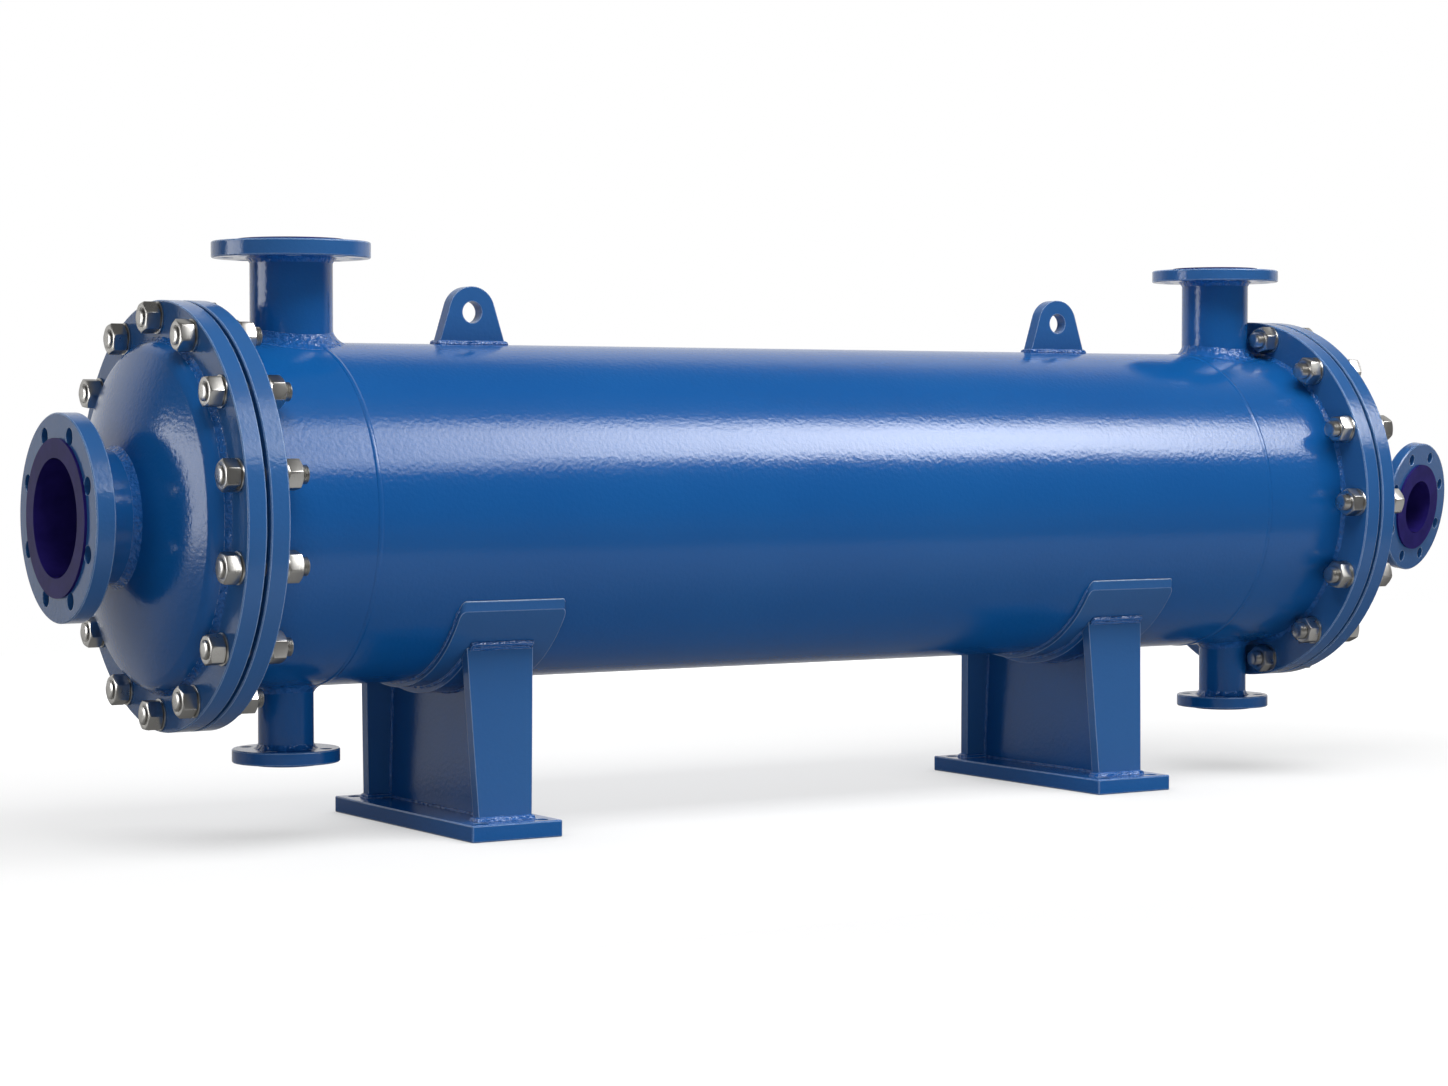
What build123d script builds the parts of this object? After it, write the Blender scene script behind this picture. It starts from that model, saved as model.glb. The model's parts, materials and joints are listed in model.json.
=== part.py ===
# Horizontal glass-lined condenser: a lined steel shell on two saddles, with a tube bundle
# inside, a dished head bolted on at each end, six lined nozzles and two lifting lugs.
# Millimetres, +X along the vessel from the fixed saddle to the sliding one, +Y away from the
# front, +Z up. The origin is the centre of the underside of the fixed saddle's base plate.
from build123d import *
from math import asin, cos, degrees, radians, sin, sqrt
import os

# Fits and lining
seat_gap = 0.3             # between a curved face and the curved face it is welded or fused to
lining_wall = 3.0          # glass lining
lining_rise = 4.0          # lined raised face, above the flange face
edge_break = 1.5           # chamfer on the rims of flanges and plates

# Vessel
axis_height = 475.0        # vessel axis above the base plates' undersides
shell_radius = 254.0       # outside
shell_wall = 10.0
shell_start = -427.0       # gasket face of the shell flange at the fixed end
shell_length = 2051.0      # between the two shell flanges' gasket faces
left_seam = 195.0          # from the gasket face to the first weld seam, at each end
right_seam = 194.0

# Tube bundle
tube_radius = 28.5
tube_wall = 4.0
tube_pitch = 84.0
tube_rings = 2             # hexagons of tubes round the middle one
tube_sheet_thickness = 25.0
tube_sheet_recess = 8.0    # behind the gasket face

# Body flanges
body_flange_width = 58.0   # from the shell's outside to the rim
body_flange_thickness = 29.0
body_bolt_inset = 25.5     # from the rim to the stud circle
body_bolt_count = 14
body_hole_radius = 15.0
gasket_thickness = 6.0
gasket_margin = 3.0        # between the gasket's edge and the stud holes
left_turn = 0.0            # degrees, from a stud at the top
right_turn = 180.0 / body_bolt_count

# Dished heads: a part of a sphere with a rounded knuckle at its rim
crown_radius = 600.0
knuckle_radius = 28.0
head_skirt = 2.0
head_wall = 10.0

# Nozzles: flange radius and thickness, bolt circle, holes, neck, bore and raised face
neck_wall = 8.0
left_end = dict(radius=150.0, thickness=29.0, pitch_radius=125.0, holes=8, hole_radius=13.0,
                neck_radius=97.0, face_radius=114.0)
left_end_reach = 189.0     # flange face beyond the gasket face
top_inlet = dict(radius=117.0, thickness=24.0, pitch_radius=95.0, holes=8, hole_radius=11.0,
                 neck_radius=61.0, face_radius=78.5)
top_inlet_inset = 175.0    # from the left gasket face to the nozzle's axis
top_vent = dict(radius=109.5, thickness=20.0, pitch_radius=90.0, holes=8, hole_radius=9.0,
                neck_radius=57.5, face_radius=73.0)
top_vent_inset = 101.0     # from the right gasket face to the nozzle's axis
top_reach = 147.0          # flange faces above the top of the shell
drain = dict(radius=79.5, thickness=20.0, pitch_radius=62.5, holes=4, hole_radius=9.0,
             neck_radius=41.0, face_radius=50.0)
left_drain_inset = 163.0
right_drain_inset = 79.0
drain_reach = 111.0        # flange faces below the bottom of the shell
outlet = dict(radius=114.0, thickness=20.0, pitch_radius=93.5, holes=8, hole_radius=9.5,
              neck_radius=58.0, face_radius=76.0)
outlet_lead = 50.0         # straight pipe from the right head to the bend
outlet_bend_radius = 102.0
outlet_turn = 70.0         # degrees, from the vessel axis towards the front
outlet_tail = 51.0         # from the end of the bend to the flange face
outlet_droop = 8.0         # degrees that the turned leg points below the horizontal

# Saddles
sliding_saddle_inset = 466.0   # from the right gasket face to the saddle's middle
base_length = 460.0        # across the vessel
base_width = 150.0
base_thickness = 25.0
base_hole_radius = 11.0
base_hole_inset_x = 25.0   # from the plate's edges
base_hole_inset_y = 20.0
pad_thickness = 8.0
pad_width = 176.0
pad_half_angle = 58.0      # degrees, from the bottom of the shell to the pad's edge
pad_corner = 8.0
cradle_thickness = 10.0    # curved plate between the end plates, under the wear plate
web_thickness = 12.0
end_plate_thickness = 18.0
end_plate_top_width = 105.0
end_plate_foot_width = 88.0
end_plate_foot = 192.0     # outer face from the vessel's middle, at the base
end_plate_lean = 12.0      # how much nearer the middle it is at the top

# Lifting lugs
left_lug_inset = 470.0     # from the gasket face to the lug's middle, at each end
right_lug_inset = 459.0
lug_thickness = 22.0
lug_base = 112.0
lug_crown_radius = 39.0
lug_eye_radius = 16.5
lug_eye_height = 49.0      # above the top of the shell

# Places that follow from them
end_plate_slope = end_plate_lean / (axis_height - shell_radius - base_thickness)
end_plate_taper = ((end_plate_top_width - end_plate_foot_width)
                   / (axis_height - shell_radius - base_thickness))
inner_radius = shell_radius - shell_wall
shell_end = shell_start + shell_length
body_flange_radius = shell_radius + body_flange_width
body_bolt_circle_radius = body_flange_radius - body_bolt_inset
left_gasket_x = shell_start - gasket_thickness
right_gasket_x = shell_end
left_cover_x = left_gasket_x - body_flange_thickness
right_cover_x = right_gasket_x + gasket_thickness
left_head_x = left_cover_x
right_head_x = right_cover_x + body_flange_thickness
shell_top = axis_height + shell_radius
top_face_height = shell_top + top_reach
drain_face_height = axis_height - shell_radius - drain_reach
head_depth = crown_radius - sqrt((crown_radius - knuckle_radius) ** 2
                                 - (shell_radius - knuckle_radius) ** 2)
outlet_bend_x = right_head_x + head_skirt + head_depth + outlet_lead
lined_radius = inner_radius - seat_gap - lining_wall


def along_x(x):
    """Plane across the vessel at x, with its normal along +X and its centre on the axis."""
    return Plane(origin=(x, 0, axis_height), x_dir=(0, 1, 0), z_dir=(1, 0, 0))


def ring_x(x, length, outer, inner):
    """Ring or pipe along the vessel axis, from x to x + length."""
    face = along_x(x) * (Circle(outer) - Circle(inner))
    return extrude(face, length)


def rod_x(x, length, radius):
    return extrude(along_x(x) * Circle(radius), length)


def break_rim(flange, radius):
    """Flange with the sharp edges of its rim taken off."""
    rim = [edge for edge in flange.edges().filter_by(GeomType.CIRCLE)
           if abs(edge.radius - radius) < seat_gap]
    return chamfer(rim, edge_break)


def nozzle_bore(size):
    """Radius of the steel bore, before it is lined."""
    return size["neck_radius"] - neck_wall


def lined_bore(size):
    return nozzle_bore(size) - seat_gap - lining_wall


def upright(x, height, up):
    """Plane of a nozzle's flange face on top of the shell, or under it."""
    return Plane(origin=(x, 0, height), x_dir=(1, 0, 0), z_dir=(0, 0, 1 if up else -1))


def radial_hole(x, radius, up):
    """Cutter for a nozzle's hole in the shell, on one side of the axis only."""
    return extrude(upright(x, axis_height, up) * Circle(radius), 2 * shell_radius)


def nozzle_flange(face, size):
    """Flange behind its face plane, with bolt holes that straddle the centre lines."""
    blank = Circle(size["radius"]) - Circle(nozzle_bore(size))
    holes = PolarLocations(size["pitch_radius"], size["holes"], start_angle=180 / size["holes"])
    blank -= holes * Circle(size["hole_radius"])
    return break_rim(extrude(face * blank, -size["thickness"]), size["radius"])


def nozzle_neck(face, size, reach):
    """Straight neck from the flange's back to a depth below the face."""
    section = Circle(size["neck_radius"]) - Circle(nozzle_bore(size))
    behind = face.offset(-size["thickness"])
    return extrude(behind * section, size["thickness"] - reach)


def nozzle_lining(face, size, reach):
    """Lining of the bore with its raised face, down to a depth below the flange face."""
    sleeve_radius = nozzle_bore(size) - seat_gap
    sleeve = extrude(face * (Circle(sleeve_radius) - Circle(lined_bore(size))), -reach)
    collar = extrude(face * (Circle(size["face_radius"]) - Circle(lined_bore(size))), lining_rise)
    return sleeve + collar


def head_form(x, side, inset):
    """Filled form of a dished head that bulges towards side (-1 or 1) from x, cut back by inset."""
    rim = shell_radius - inset
    crown = crown_radius - inset
    knuckle = knuckle_radius - inset
    turn = asin((shell_radius - knuckle_radius) / (crown_radius - knuckle_radius))
    middle = head_skirt + head_depth - crown_radius
    profile = Plane(origin=(x, 0, axis_height), x_dir=(side, 0, 0), z_dir=(0, -side, 0))
    start = (middle + crown * cos(turn), crown * sin(turn))
    crown_arc = CenterArc((middle, 0), crown, 0, degrees(turn))
    knuckle_arc = CenterArc((head_skirt, rim - knuckle), knuckle, degrees(turn), 90 - degrees(turn))
    sides = Polyline((head_skirt, rim), (0, rim), (0, 0), (middle + crown, 0))
    outline = make_face([crown_arc, knuckle_arc, sides])
    return revolve(profile * outline, Axis((x, 0, axis_height), (1, 0, 0)), 360)


def dished_head(x, side, hole_radius):
    hole = rod_x(x, side * 2 * shell_radius, hole_radius)
    return head_form(x, side, 0) - head_form(x, side, head_wall) - hole


def head_lining(x, side, hole_radius):
    hole = rod_x(x, side * 2 * shell_radius, hole_radius)
    outer = head_form(x, side, head_wall + seat_gap)
    return outer - head_form(x, side, head_wall + seat_gap + lining_wall) - hole


def body_flange(x, turn):
    """Girth flange from x to x plus its thickness, with its ring of stud holes."""
    blank = Circle(body_flange_radius) - Circle(inner_radius)
    studs = PolarLocations(body_bolt_circle_radius, body_bolt_count, start_angle=90 + turn)
    blank -= studs * Circle(body_hole_radius)
    return break_rim(extrude(along_x(x) * blank, body_flange_thickness), body_flange_radius)


def radial_nozzle(name, x, height, up, size):
    face = upright(x, height, up)
    reach = abs(height - axis_height)
    shell_form = rod_x(x - shell_radius, 2 * shell_radius, shell_radius + seat_gap)
    hollow = rod_x(x - shell_radius, 2 * shell_radius, inner_radius)
    parts[name + "_flange"] = nozzle_flange(face, size)
    parts[name + "_neck"] = nozzle_neck(face, size, reach) - shell_form
    parts[name + "_lining"] = nozzle_lining(face, size, reach) - hollow


def end_nozzle():
    """Nozzle on the axis of the left head."""
    reach = left_end_reach - body_flange_thickness - gasket_thickness
    face = Plane(origin=(shell_start - left_end_reach, 0, axis_height), x_dir=(0, -1, 0),
                 z_dir=(-1, 0, 0))
    outside = head_form(left_head_x, -1, -seat_gap)
    inside = head_form(left_head_x, -1, head_wall)
    parts["left_end_nozzle_flange"] = nozzle_flange(face, left_end)
    parts["left_end_nozzle_neck"] = nozzle_neck(face, left_end, reach) - outside
    parts["left_end_nozzle_lining"] = nozzle_lining(face, left_end, reach) - inside


def bent_pipe(outer, inner, start, tail):
    """Pipe along the axis to the bend, round it and on for the length of the tail."""
    section = Circle(outer) - Circle(inner)
    lead = extrude(along_x(start) * section, outlet_bend_x - start)
    pivot = Axis((outlet_bend_x, -outlet_bend_radius, axis_height), (0, 0, -1))
    bend = revolve(along_x(outlet_bend_x) * section, pivot, outlet_turn)
    leg = extrude(outlet_plane(0) * section, tail)
    return lead + bend + leg


def outlet_plane(distance):
    """Plane across the turned leg, at a distance past the end of the bend, before it droops."""
    turn = radians(outlet_turn)
    x = outlet_bend_x + outlet_bend_radius * sin(turn) + distance * cos(turn)
    y = -outlet_bend_radius * (1 - cos(turn)) - distance * sin(turn)
    return Plane(origin=(x, y, axis_height), x_dir=(0, 0, 1), z_dir=(cos(turn), -sin(turn), 0))


def outlet_nozzle():
    """Bent outlet nozzle on the right head. Its turned leg droops about the vessel axis."""
    axis = Axis((0, 0, axis_height), (1, 0, 0))
    outside = head_form(right_head_x, 1, -seat_gap)
    inside = head_form(right_head_x, 1, head_wall)
    bore = nozzle_bore(outlet)
    face = outlet_plane(outlet_tail)
    neck = bent_pipe(outlet["neck_radius"], bore, right_head_x, outlet_tail - outlet["thickness"])
    sleeve = bent_pipe(bore - seat_gap, lined_bore(outlet), right_head_x, outlet_tail)
    collar_section = Circle(outlet["face_radius"]) - Circle(lined_bore(outlet))
    collar = extrude(face * collar_section, lining_rise)
    parts["outlet_nozzle_flange"] = nozzle_flange(face, outlet).rotate(axis, outlet_droop)
    parts["outlet_nozzle_elbow"] = (neck - outside).rotate(axis, outlet_droop)
    parts["outlet_nozzle_lining"] = (sleeve + collar - inside).rotate(axis, outlet_droop)


def lifting_lug(x):
    """Plate along the vessel with straight sides that run up into a round crown, and an eye."""
    eye_z = shell_top + lug_eye_height
    root_z = shell_top - seat_gap
    plane = Plane(origin=(x, lug_thickness / 2, eye_z), x_dir=(1, 0, 0), z_dir=(0, -1, 0))
    crown = Circle(lug_crown_radius)
    foot = Pos(0, root_z - eye_z) * Rectangle(lug_base, 1, align=(Align.CENTER, Align.MIN))
    outline = make_hull(crown.edges() + foot.edges()) - Circle(lug_eye_radius)
    plate = extrude(plane * outline, lug_thickness)
    seat = rod_x(x - lug_base, 2 * lug_base, shell_radius + seat_gap)
    skirt = extrude(Plane(origin=(x, 0, root_z)) * Rectangle(lug_base, lug_thickness), -5)
    return plate + skirt - seat


def tube_bundle():
    """Two tube sheets inside the shell's ends, with tubes on a triangular pitch between them."""
    x = shell_start + tube_sheet_recess
    length = shell_length - 2 * tube_sheet_recess
    spots = []
    for row in range(-tube_rings, tube_rings + 1):
        for place in range(-tube_rings, tube_rings + 1):
            if abs(row + place) <= tube_rings:
                across = tube_pitch * (place + row / 2)
                spots.append((across, tube_pitch * row * sqrt(3) / 2))
    sheet = Circle(lined_radius - seat_gap)
    left_sheet = extrude(along_x(x) * sheet, tube_sheet_thickness)
    right_sheet = extrude(along_x(x + length) * sheet, -tube_sheet_thickness)
    outsides = along_x(x) * Sketch(children=Locations(spots) * Circle(tube_radius))
    bores = along_x(x) * Sketch(children=Locations(spots) * Circle(tube_radius - tube_wall))
    return left_sheet + right_sheet + extrude(outsides, length) - extrude(bores, length)


def curved_plate(x, width, inner, thickness, half_angle, corner):
    """Part of a pipe round the bottom of the shell, with rounded corners in plan."""
    outer = inner + thickness
    reach = outer * sin(radians(half_angle))
    plan = Plane(origin=(x, 0, 0)) * RectangleRounded(width, 2 * reach, corner)
    return ring_x(x - width / 2, width, outer, inner) & extrude(plan, axis_height)


def saddle_end_plate(x, side):
    """Tapered plate that closes one end of the web and leans in towards its top."""
    foot = end_plate_foot - end_plate_thickness
    lean = Vector(0, -side * end_plate_slope, 1)
    face = Plane(origin=(x, side * foot, base_thickness), x_dir=(1, 0, 0),
                 z_dir=Vector(1, 0, 0).cross(lean))
    rise = axis_height - base_thickness
    top_width = end_plate_foot_width + end_plate_taper * rise
    outline = Polyline((-end_plate_foot_width / 2, 0), (end_plate_foot_width / 2, 0),
                       (top_width / 2, rise), (-top_width / 2, rise), close=True)
    plate = extrude(face * make_face(outline), -side * end_plate_thickness)
    base = Pos(x, 0, 0) * Box(base_width, base_length, 2 * base_thickness)
    return plate - base


def saddle(name, x):
    """Base plate, web, two end plates and a cradle, under the wear plate on the shell."""
    base = Rectangle(base_width, base_length)
    pitch_x = base_width - 2 * base_hole_inset_x
    pitch_y = base_length - 2 * base_hole_inset_y
    base -= GridLocations(pitch_x, pitch_y, 2, 2) * Circle(base_hole_radius)
    plate = extrude(Plane(origin=(x, 0, 0)) * base, base_thickness)
    parts[name + "_base_plate"] = chamfer(plate.edges().filter_by(GeomType.LINE), edge_break)

    pad_inner = shell_radius + seat_gap
    cradle_inner = pad_inner + pad_thickness + seat_gap
    web_seat = cradle_inner + cradle_thickness + seat_gap
    parts[name + "_wear_plate"] = curved_plate(x, pad_width, pad_inner, pad_thickness,
                                               pad_half_angle, pad_corner)
    ends = [saddle_end_plate(x, side) - rod_x(x - pad_width, 2 * pad_width, cradle_inner)
            for side in (-1, 1)]
    parts[name + "_end_plates"] = Compound(ends)

    foot = end_plate_foot - end_plate_thickness
    rise = axis_height - base_thickness
    shoulder = foot - end_plate_slope * rise
    between = make_face(Polyline((-foot, 0), (foot, 0), (shoulder, rise), (-shoulder, rise),
                                 close=True))
    web_plane = Plane(origin=(x, 0, base_thickness), x_dir=(0, 1, 0), z_dir=(1, 0, 0))
    web = extrude(web_plane * between, web_thickness / 2, both=True)
    parts[name + "_web"] = web - rod_x(x - web_thickness, 2 * web_thickness, web_seat)
    cradle_room = extrude(web_plane * between, end_plate_top_width / 2, both=True)
    parts[name + "_cradle"] = ring_x(x - end_plate_top_width / 2, end_plate_top_width,
                                     cradle_inner + cradle_thickness, cradle_inner) & cradle_room


parts = {}

# Shell: a barrel between two weld seams, and a short course at each end
barrel_x = shell_start + left_seam
barrel_end = shell_end - right_seam
left_course_x = shell_start + body_flange_thickness
right_course_end = shell_end - body_flange_thickness
barrel = ring_x(barrel_x, barrel_end - barrel_x, shell_radius, inner_radius)
left_course = ring_x(left_course_x, barrel_x - left_course_x, shell_radius, inner_radius)
right_course = ring_x(barrel_end, right_course_end - barrel_end, shell_radius, inner_radius)
shell_lining = ring_x(shell_start, shell_length, inner_radius - seat_gap, lined_radius)
nozzles = (("top_inlet_nozzle", shell_start + top_inlet_inset, top_face_height, True, top_inlet),
           ("top_vent_nozzle", shell_end - top_vent_inset, top_face_height, True, top_vent),
           ("left_drain_nozzle", shell_start + left_drain_inset, drain_face_height, False, drain),
           ("right_drain_nozzle", shell_end - right_drain_inset, drain_face_height, False, drain))
for name, x, height, up, size in nozzles:
    radial_nozzle(name, x, height, up, size)
    hole = radial_hole(x, nozzle_bore(size), up)
    barrel -= hole
    left_course -= hole
    right_course -= hole
    shell_lining -= radial_hole(x, lined_bore(size), up)
parts["shell_barrel"] = barrel
parts["left_shell_course"] = left_course
parts["right_shell_course"] = right_course
parts["shell_lining"] = shell_lining

# Girth joints
gasket_radius = body_bolt_circle_radius - body_hole_radius - gasket_margin
parts["left_shell_flange"] = body_flange(shell_start, left_turn)
parts["right_shell_flange"] = body_flange(shell_end - body_flange_thickness, right_turn)
parts["left_cover_flange"] = body_flange(left_cover_x, left_turn)
parts["right_cover_flange"] = body_flange(right_cover_x, right_turn)
parts["left_gasket"] = ring_x(left_gasket_x, gasket_thickness, gasket_radius, inner_radius)
parts["right_gasket"] = ring_x(right_gasket_x, gasket_thickness, gasket_radius, inner_radius)

# Heads
parts["left_dished_head"] = dished_head(left_head_x, -1, nozzle_bore(left_end))
parts["right_dished_head"] = dished_head(right_head_x, 1, nozzle_bore(outlet))
parts["left_head_lining"] = head_lining(left_head_x, -1, lined_bore(left_end))
parts["right_head_lining"] = head_lining(right_head_x, 1, lined_bore(outlet))
end_nozzle()
outlet_nozzle()

parts["tube_bundle"] = tube_bundle()

# Supports and lugs
saddle("fixed_saddle", 0.0)
saddle("sliding_saddle", shell_end - sliding_saddle_inset)
parts["left_lifting_lug"] = lifting_lug(shell_start + left_lug_inset)
parts["right_lifting_lug"] = lifting_lug(shell_end - right_lug_inset)

os.makedirs("parts", exist_ok=True)
for name, shape in parts.items():
    export_step(shape, f"parts/{name}.step")
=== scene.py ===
# %% [markdown]
# # A glass-lined condenser in a plain studio
# The condenser is a lying steel vessel, painted blue outside and coated with dark glass inside.
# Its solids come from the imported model, which stays as it is. This script gives them their
# paint, glass and rubber, and adds what a CAD part leaves out: studs, nuts, washers and welds.
# Everything is in metres, with +X along the vessel, +Y away from the front and +Z up.

# %% Load the solids
import json
import math
import bpy
from mathutils import Matrix, Vector


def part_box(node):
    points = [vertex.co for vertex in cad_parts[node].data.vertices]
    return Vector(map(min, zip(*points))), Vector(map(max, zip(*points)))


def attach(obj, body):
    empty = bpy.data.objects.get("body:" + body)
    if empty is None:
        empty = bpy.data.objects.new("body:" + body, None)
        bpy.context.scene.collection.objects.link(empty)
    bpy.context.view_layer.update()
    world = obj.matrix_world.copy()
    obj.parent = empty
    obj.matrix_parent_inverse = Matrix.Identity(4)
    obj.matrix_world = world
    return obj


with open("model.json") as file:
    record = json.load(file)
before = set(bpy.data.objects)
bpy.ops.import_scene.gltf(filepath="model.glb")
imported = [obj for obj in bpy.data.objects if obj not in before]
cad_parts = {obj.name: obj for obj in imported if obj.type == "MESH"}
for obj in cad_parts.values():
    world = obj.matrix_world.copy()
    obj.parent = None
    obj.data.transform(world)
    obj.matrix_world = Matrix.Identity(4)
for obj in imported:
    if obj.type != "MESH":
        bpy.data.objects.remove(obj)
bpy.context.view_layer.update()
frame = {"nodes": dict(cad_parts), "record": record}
nodes = frame["nodes"]

# %% [markdown]
# ## The camera
# The camera stands in front of the left end, a little above the vessel's axis, and looks along
# it to the right. It could be turned by eye, but its place and lens were worked out from the
# outlines of the shell, flanges and saddles instead, so that both ends come out at their size.

# %% Set the camera
FRAME_WIDTH = 1448
FOCAL_PIXELS = 3299.8
camera = bpy.data.objects.new("photo_camera", bpy.data.cameras.new("photo_camera"))
bpy.context.scene.collection.objects.link(camera)
camera.data.sensor_width = 36.0
camera.data.sensor_fit = "HORIZONTAL"
camera.data.lens = FOCAL_PIXELS * camera.data.sensor_width / FRAME_WIDTH
camera.location = (-2.3135, -4.4579, 0.6131)
camera.rotation_euler = (math.radians(90 - 2.121), 0, math.radians(-32.273))
camera.data.clip_end = 100
bpy.context.scene.camera = camera
print("lens", round(camera.data.lens, 1), "mm")

# %% [markdown]
# ## Helpers for materials
# Colours are written as the hex codes that a paint chart or an image editor shows. Shaders add
# light in linear numbers, so one function turns a code into those. A second function adds a
# shader node: plain values go into its sockets, and another node's socket is linked instead.
# Two short ones start an empty material and give it its output.

# %% Colour and node helpers
def linear(code):
    values = [int(code[i:i + 2], 16) / 255 for i in (1, 3, 5)]
    return tuple(v / 12.92 if v <= 0.04045 else ((v + 0.055) / 1.055) ** 2.4
                 for v in values) + (1.0,)


def add(tree, kind, inputs=(), **settings):
    """Adds one shader node with its settings, and fills or links its inputs."""
    node = tree.nodes.new("ShaderNode" + kind)
    for name, value in settings.items():
        setattr(node, name, value)
    for name, value in dict(inputs).items():
        if isinstance(value, bpy.types.NodeSocket):
            tree.links.new(value, node.inputs[name])
        else:
            node.inputs[name].default_value = value
    return node


def new_material(name):
    material = bpy.data.materials.new(name)
    material.use_nodes = True
    material.node_tree.nodes.clear()
    return material, material.node_tree


def close_material(tree, shader):
    add(tree, "OutputMaterial", {"Surface": shader.outputs[0]})


print("middle grey", [round(v, 3) for v in linear("#808080")])

# %% [markdown]
# ## Blue enamel paint
# The steel is sprayed with a two-part gloss enamel. A wet, glossy film shows three things: its
# own colour, sharp reflections on top of it, and orange peel, the small ripple that the spray
# leaves. A single noise would give either the ripple or the plate's own slow waves, so two
# noises feed the bump: about 6 mm for the peel and 120 mm for the rolled plate. Real peel is
# nearer 2 mm, too fine to show here. The edges carry a painted highlight: a Bevel node finds
# them, because its rounded normal differs there from the plain one, and the same difference
# mixes in a pale blue where light would catch. Welds have coarser and deeper bumps.

# %% Make the enamel
def gloss_enamel(name, deep, bright, painted_edge_highlight, peel=0.35, peel_scale=160.0, depth=0.001,
                 edge=0.002):
    """Paint that drifts between deep and bright, with a pale painted highlight on edges of radius
    edge.
    """
    material, tree = new_material(name)
    place = add(tree, "TexCoord").outputs["Object"]
    film = add(tree, "TexNoise", {"Vector": place, "Scale": 2.2, "Detail": 3.0}).outputs["Fac"]
    colour = add(tree, "ValToRGB", {"Fac": film})
    colour.color_ramp.elements[0].position = 0.3
    colour.color_ramp.elements[0].color = linear(deep)
    colour.color_ramp.elements[1].position = 0.7
    colour.color_ramp.elements[1].color = linear(bright)
    ripple = add(tree, "TexNoise", {"Vector": place, "Scale": peel_scale, "Detail": 2.0})
    wave = add(tree, "TexNoise", {"Vector": place, "Scale": 8.0, "Detail": 1.0})
    gloss = add(tree, "MapRange", {"Value": ripple.outputs["Fac"], "To Min": 0.10,
                                   "To Max": 0.20})
    soft_edge = add(tree, "Bevel", {"Radius": edge}, samples=4)
    flatness = add(tree, "VectorMath", {0: soft_edge.outputs[0],
                                        1: add(tree, "NewGeometry").outputs["Normal"]},
                   operation="DOT_PRODUCT")
    # Near an edge a pale blue is mixed in: a painted highlight.
    on_edge = add(tree, "MapRange", {"Value": flatness.outputs["Value"], "From Min": 0.99,
                                     "From Max": 0.92, "To Max": 0.8})
    paint = add(tree, "Mix", {0: on_edge.outputs[0], 6: colour.outputs["Color"],
                              7: linear(painted_edge_highlight)}, data_type="RGBA")
    slow = add(tree, "Bump", {"Height": wave.outputs["Fac"], "Strength": 0.25,
                              "Distance": 0.003, "Normal": soft_edge.outputs[0]})
    fine = add(tree, "Bump", {"Height": ripple.outputs["Fac"], "Strength": peel,
                              "Distance": depth, "Normal": slow.outputs[0]})
    shader = add(tree, "BsdfPrincipled", {"Base Color": paint.outputs[2],
                                          "Roughness": gloss.outputs[0],
                                          "Normal": fine.outputs[0], "IOR": 1.5})
    close_material(tree, shader)
    return material


# The last colour of each enamel is its painted highlight on edges.
enamel = gloss_enamel("blue_gloss_enamel_paint", "#0f5295", "#13589b", "#a6c3ea")
# This enamel is greyer and paler: a painted sheen for the lit flat plates.
plate_enamel_with_painted_sheen = gloss_enamel("blue_enamel_with_painted_sheen", "#285993", "#2d5f99", "#b0caec")
weld_enamel = gloss_enamel("blue_enamel_over_weld", "#175295", "#2160a8", "#c4d8f4", peel=1.0,
                           peel_scale=110.0, depth=0.006, edge=0.0008)
print("paints:", [paint.name for paint in (enamel, plate_enamel_with_painted_sheen, weld_enamel)])

# %% [markdown]
# ## Glass lining
# The inside and the raised faces are glass enamel, fired onto the steel at red heat until it
# flows. It is nearly black in the depth and violet where light crosses the face. A clear coat
# over a dark base would look like a wet window on the faces, but these are ground flat for
# sealing and only have a soft sheen. So one gloss does for both, with less of it than bare
# glass would have, and faint waves where the melt flowed.

# %% Make the glass
def fired_glass(name, deep, bright):
    """Dark fired glass that drifts between deep and bright."""
    material, tree = new_material(name)
    place = add(tree, "TexCoord").outputs["Object"]
    melt = add(tree, "TexNoise", {"Vector": place, "Scale": 30.0, "Detail": 2.0})
    colour = add(tree, "ValToRGB", {"Fac": melt.outputs["Fac"]})
    colour.color_ramp.elements[0].position = 0.35
    colour.color_ramp.elements[0].color = linear(deep)
    colour.color_ramp.elements[1].position = 0.65
    colour.color_ramp.elements[1].color = linear(bright)
    flow = add(tree, "Bump", {"Height": melt.outputs["Fac"], "Strength": 0.15,
                              "Distance": 0.0015})
    shader = add(tree, "BsdfPrincipled", {"Base Color": colour.outputs["Color"],
                                          "Roughness": 0.20, "IOR": 1.52,
                                          "Specular IOR Level": 0.04,
                                          "Normal": flow.outputs[0]})
    close_material(tree, shader)
    return material


glass = fired_glass("indigo_fired_glass_lining", "#211a5e", "#28206c")
glassed_tubes = fired_glass("indigo_glassed_steel_tubes", "#130b30", "#1a123a")
print("glass:", glass.name, "and", glassed_tubes.name)

# %% [markdown]
# ## Gasket rubber and stainless steel
# The gaskets are matt black rubber with a fine moulded grain. The studs, nuts and washers are
# bright stainless steel: fully metallic, satin smooth, and slightly uneven, because machining
# and handling leave patches of different gloss. Those patches are what tells metal from chrome.

# %% Make rubber and stainless steel
rubber, tree = new_material("black_gasket_rubber")
place = add(tree, "TexCoord").outputs["Object"]
grain = add(tree, "TexNoise", {"Vector": place, "Scale": 400.0, "Detail": 2.0})
shade = add(tree, "ValToRGB", {"Fac": grain.outputs["Fac"]})
shade.color_ramp.elements[0].color = linear("#08080a")
shade.color_ramp.elements[1].color = linear("#151518")
bump = add(tree, "Bump", {"Height": grain.outputs["Fac"], "Strength": 0.4, "Distance": 0.0004})
close_material(tree, add(tree, "BsdfPrincipled", {"Base Color": shade.outputs["Color"],
                                                  "Roughness": 0.75, "IOR": 1.5,
                                                  "Normal": bump.outputs[0]}))

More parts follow.
